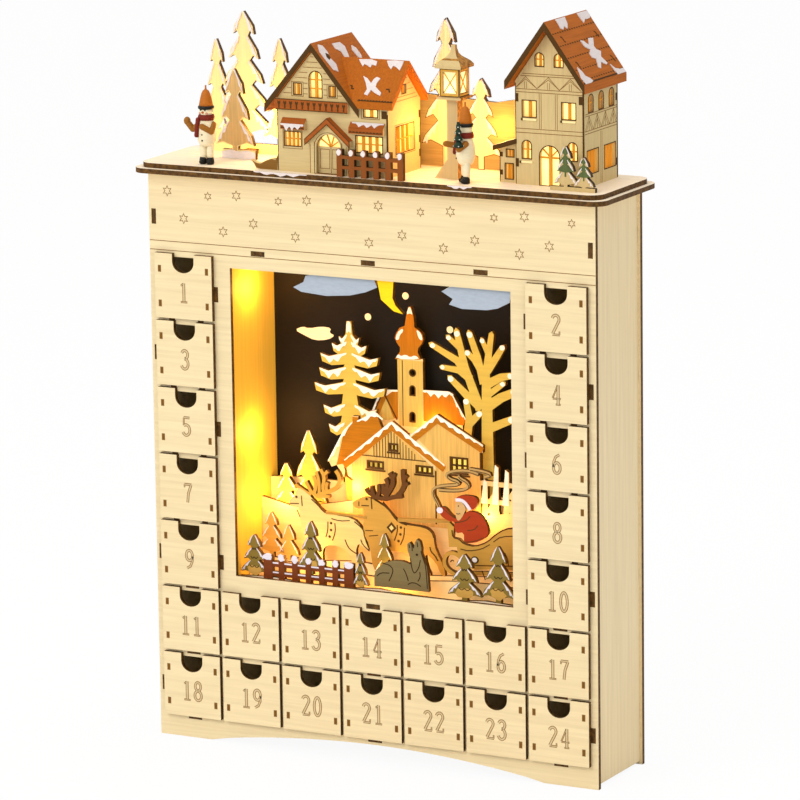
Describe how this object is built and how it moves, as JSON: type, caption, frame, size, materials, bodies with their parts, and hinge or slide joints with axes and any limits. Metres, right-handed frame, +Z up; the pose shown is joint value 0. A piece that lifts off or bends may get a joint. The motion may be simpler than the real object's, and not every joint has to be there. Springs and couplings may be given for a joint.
{
  "type": "advent calendar",
  "caption": "Upright plywood advent calendar: a case with numbered pull-out drawers round a lit winter scene, and a small snowy village with lamps on top.",
  "frame": {"origin": "middle of the top plates' outline, at the level of the surface that the feet stand on", "axes": "+X to the right seen from the front, +Y to the back, +Z up"},
  "size_m": [0.3156, 0.0796, 0.4559],
  "materials": {
    "case_birch": "laser-cut birch ply with darkened edges, unvarnished",
    "plate_birch": "laser-cut birch ply, darker edges",
    "drawer_birch": "laser-cut birch ply, engraved plain number",
    "lit_liner": "birch ply, lit warm from above",
    "night_sky": "birch ply stained dark brown",
    "cloud_blue": "birch ply painted grey blue, yellow moon",
    "scene_birch": "birch ply, lightly painted",
    "reindeer_brown": "birch ply stained brown",
    "santa_red": "birch ply, painted",
    "snow_white": "birch ply, painted white",
    "house_birch": "birch ply, engraved",
    "roof_stain": "birch ply stained orange brown, white snow",
    "lamp_birch": "birch ply",
    "fence_red": "birch ply stained red brown",
    "fir_green": "birch ply painted green and white",
    "black_plastic": "fine matte",
    "white_plastic": "satin"
  },
  "bodies": {
    "case": {"front_panel": "case_birch", "back_panel": "case_birch", "side_panel_left": "case_birch", "side_panel_right": "case_birch", "floor_shelf": "case_birch", "drawer_grid": "case_birch", "middle_shelf": "case_birch", "column_rack_left": "case_birch", "column_rack_right": "case_birch", "header_shelf": "case_birch", "top_plate_lower": "plate_birch", "top_plate_upper": "plate_birch", "scene_liner_left": "lit_liner", "scene_liner_right": "lit_liner", "sky_backdrop": "night_sky", "sky_hanger": "cloud_blue", "church_layer": "scene_birch", "trees_layer": "scene_birch", "cottages_layer": "scene_birch", "reindeer_team": "reindeer_brown", "santa_sleigh": "santa_red", "front_layer": "snow_white", "tree_board": "snow_white", "snowman_waving": "snow_white", "snowman_with_tree": "snow_white", "left_house_walls": "house_birch", "right_house_walls": "house_birch", "left_house_roof": "roof_stain", "right_house_roof": "roof_stain", "street_lamp": "lamp_birch", "yard_fence": "fence_red", "garden_firs": "fir_green", "battery_holder": "black_plastic", "light_strip": "white_plastic"},
    "drawer_01": {"drawer_01": "drawer_birch"},
    "drawer_02": {"drawer_02": "drawer_birch"},
    "drawer_03": {"drawer_03": "drawer_birch"},
    "drawer_04": {"drawer_04": "drawer_birch"},
    "drawer_05": {"drawer_05": "drawer_birch"},
    "drawer_06": {"drawer_06": "drawer_birch"},
    "drawer_07": {"drawer_07": "drawer_birch"},
    "drawer_08": {"drawer_08": "drawer_birch"},
    "drawer_09": {"drawer_09": "drawer_birch"},
    "drawer_10": {"drawer_10": "drawer_birch"},
    "drawer_11": {"drawer_11": "drawer_birch"},
    "drawer_12": {"drawer_12": "drawer_birch"},
    "drawer_13": {"drawer_13": "drawer_birch"},
    "drawer_14": {"drawer_14": "drawer_birch"},
    "drawer_15": {"drawer_15": "drawer_birch"},
    "drawer_16": {"drawer_16": "drawer_birch"},
    "drawer_17": {"drawer_17": "drawer_birch"},
    "drawer_18": {"drawer_18": "drawer_birch"},
    "drawer_19": {"drawer_19": "drawer_birch"},
    "drawer_20": {"drawer_20": "drawer_birch"},
    "drawer_21": {"drawer_21": "drawer_birch"},
    "drawer_22": {"drawer_22": "drawer_birch"},
    "drawer_23": {"drawer_23": "drawer_birch"},
    "drawer_24": {"drawer_24": "drawer_birch"},
    "battery_cover": {"battery_cover": "black_plastic"},
    "switch_slider": {"switch_slider": "white_plastic"}
  },
  "joints": [
    {"name": "drawer_01_slide", "type": "slide", "parent": "case", "child": "drawer_01", "axis": [0, -1, 0], "range_m": [0, 0.052]},
    {"name": "drawer_02_slide", "type": "slide", "parent": "case", "child": "drawer_02", "axis": [0, -1, 0], "range_m": [0, 0.052]},
    {"name": "drawer_03_slide", "type": "slide", "parent": "case", "child": "drawer_03", "axis": [0, -1, 0], "range_m": [0, 0.052]},
    {"name": "drawer_04_slide", "type": "slide", "parent": "case", "child": "drawer_04", "axis": [0, -1, 0], "range_m": [0, 0.052]},
    {"name": "drawer_05_slide", "type": "slide", "parent": "case", "child": "drawer_05", "axis": [0, -1, 0], "range_m": [0, 0.052]},
    {"name": "drawer_06_slide", "type": "slide", "parent": "case", "child": "drawer_06", "axis": [0, -1, 0], "range_m": [0, 0.052]},
    {"name": "drawer_07_slide", "type": "slide", "parent": "case", "child": "drawer_07", "axis": [0, -1, 0], "range_m": [0, 0.052]},
    {"name": "drawer_08_slide", "type": "slide", "parent": "case", "child": "drawer_08", "axis": [0, -1, 0], "range_m": [0, 0.052]},
    {"name": "drawer_09_slide", "type": "slide", "parent": "case", "child": "drawer_09", "axis": [0, -1, 0], "range_m": [0, 0.052]},
    {"name": "drawer_10_slide", "type": "slide", "parent": "case", "child": "drawer_10", "axis": [0, -1, 0], "range_m": [0, 0.052]},
    {"name": "drawer_11_slide", "type": "slide", "parent": "case", "child": "drawer_11", "axis": [0, -1, 0], "range_m": [0, 0.052]},
    {"name": "drawer_12_slide", "type": "slide", "parent": "case", "child": "drawer_12", "axis": [0, -1, 0], "range_m": [0, 0.052]},
    {"name": "drawer_13_slide", "type": "slide", "parent": "case", "child": "drawer_13", "axis": [0, -1, 0], "range_m": [0, 0.052]},
    {"name": "drawer_14_slide", "type": "slide", "parent": "case", "child": "drawer_14", "axis": [0, -1, 0], "range_m": [0, 0.052]},
    {"name": "drawer_15_slide", "type": "slide", "parent": "case", "child": "drawer_15", "axis": [0, -1, 0], "range_m": [0, 0.052]},
    {"name": "drawer_16_slide", "type": "slide", "parent": "case", "child": "drawer_16", "axis": [0, -1, 0], "range_m": [0, 0.052]},
    {"name": "drawer_17_slide", "type": "slide", "parent": "case", "child": "drawer_17", "axis": [0, -1, 0], "range_m": [0, 0.052]},
    {"name": "drawer_18_slide", "type": "slide", "parent": "case", "child": "drawer_18", "axis": [0, -1, 0], "range_m": [0, 0.052]},
    {"name": "drawer_19_slide", "type": "slide", "parent": "case", "child": "drawer_19", "axis": [0, -1, 0], "range_m": [0, 0.052]},
    {"name": "drawer_20_slide", "type": "slide", "parent": "case", "child": "drawer_20", "axis": [0, -1, 0], "range_m": [0, 0.052]},
    {"name": "drawer_21_slide", "type": "slide", "parent": "case", "child": "drawer_21", "axis": [0, -1, 0], "range_m": [0, 0.052]},
    {"name": "drawer_22_slide", "type": "slide", "parent": "case", "child": "drawer_22", "axis": [0, -1, 0], "range_m": [0, 0.052]},
    {"name": "drawer_23_slide", "type": "slide", "parent": "case", "child": "drawer_23", "axis": [0, -1, 0], "range_m": [0, 0.052]},
    {"name": "drawer_24_slide", "type": "slide", "parent": "case", "child": "drawer_24", "axis": [0, -1, 0], "range_m": [0, 0.052]},
    {"name": "battery_cover_slide", "type": "slide", "parent": "case", "child": "battery_cover", "axis": [-1, 0, 0], "range_m": [0, 0.045]},
    {"name": "switch_slide", "type": "slide", "parent": "case", "child": "switch_slider", "axis": [1, 0, 0], "range_m": [0, 0.004]}
  ]
}
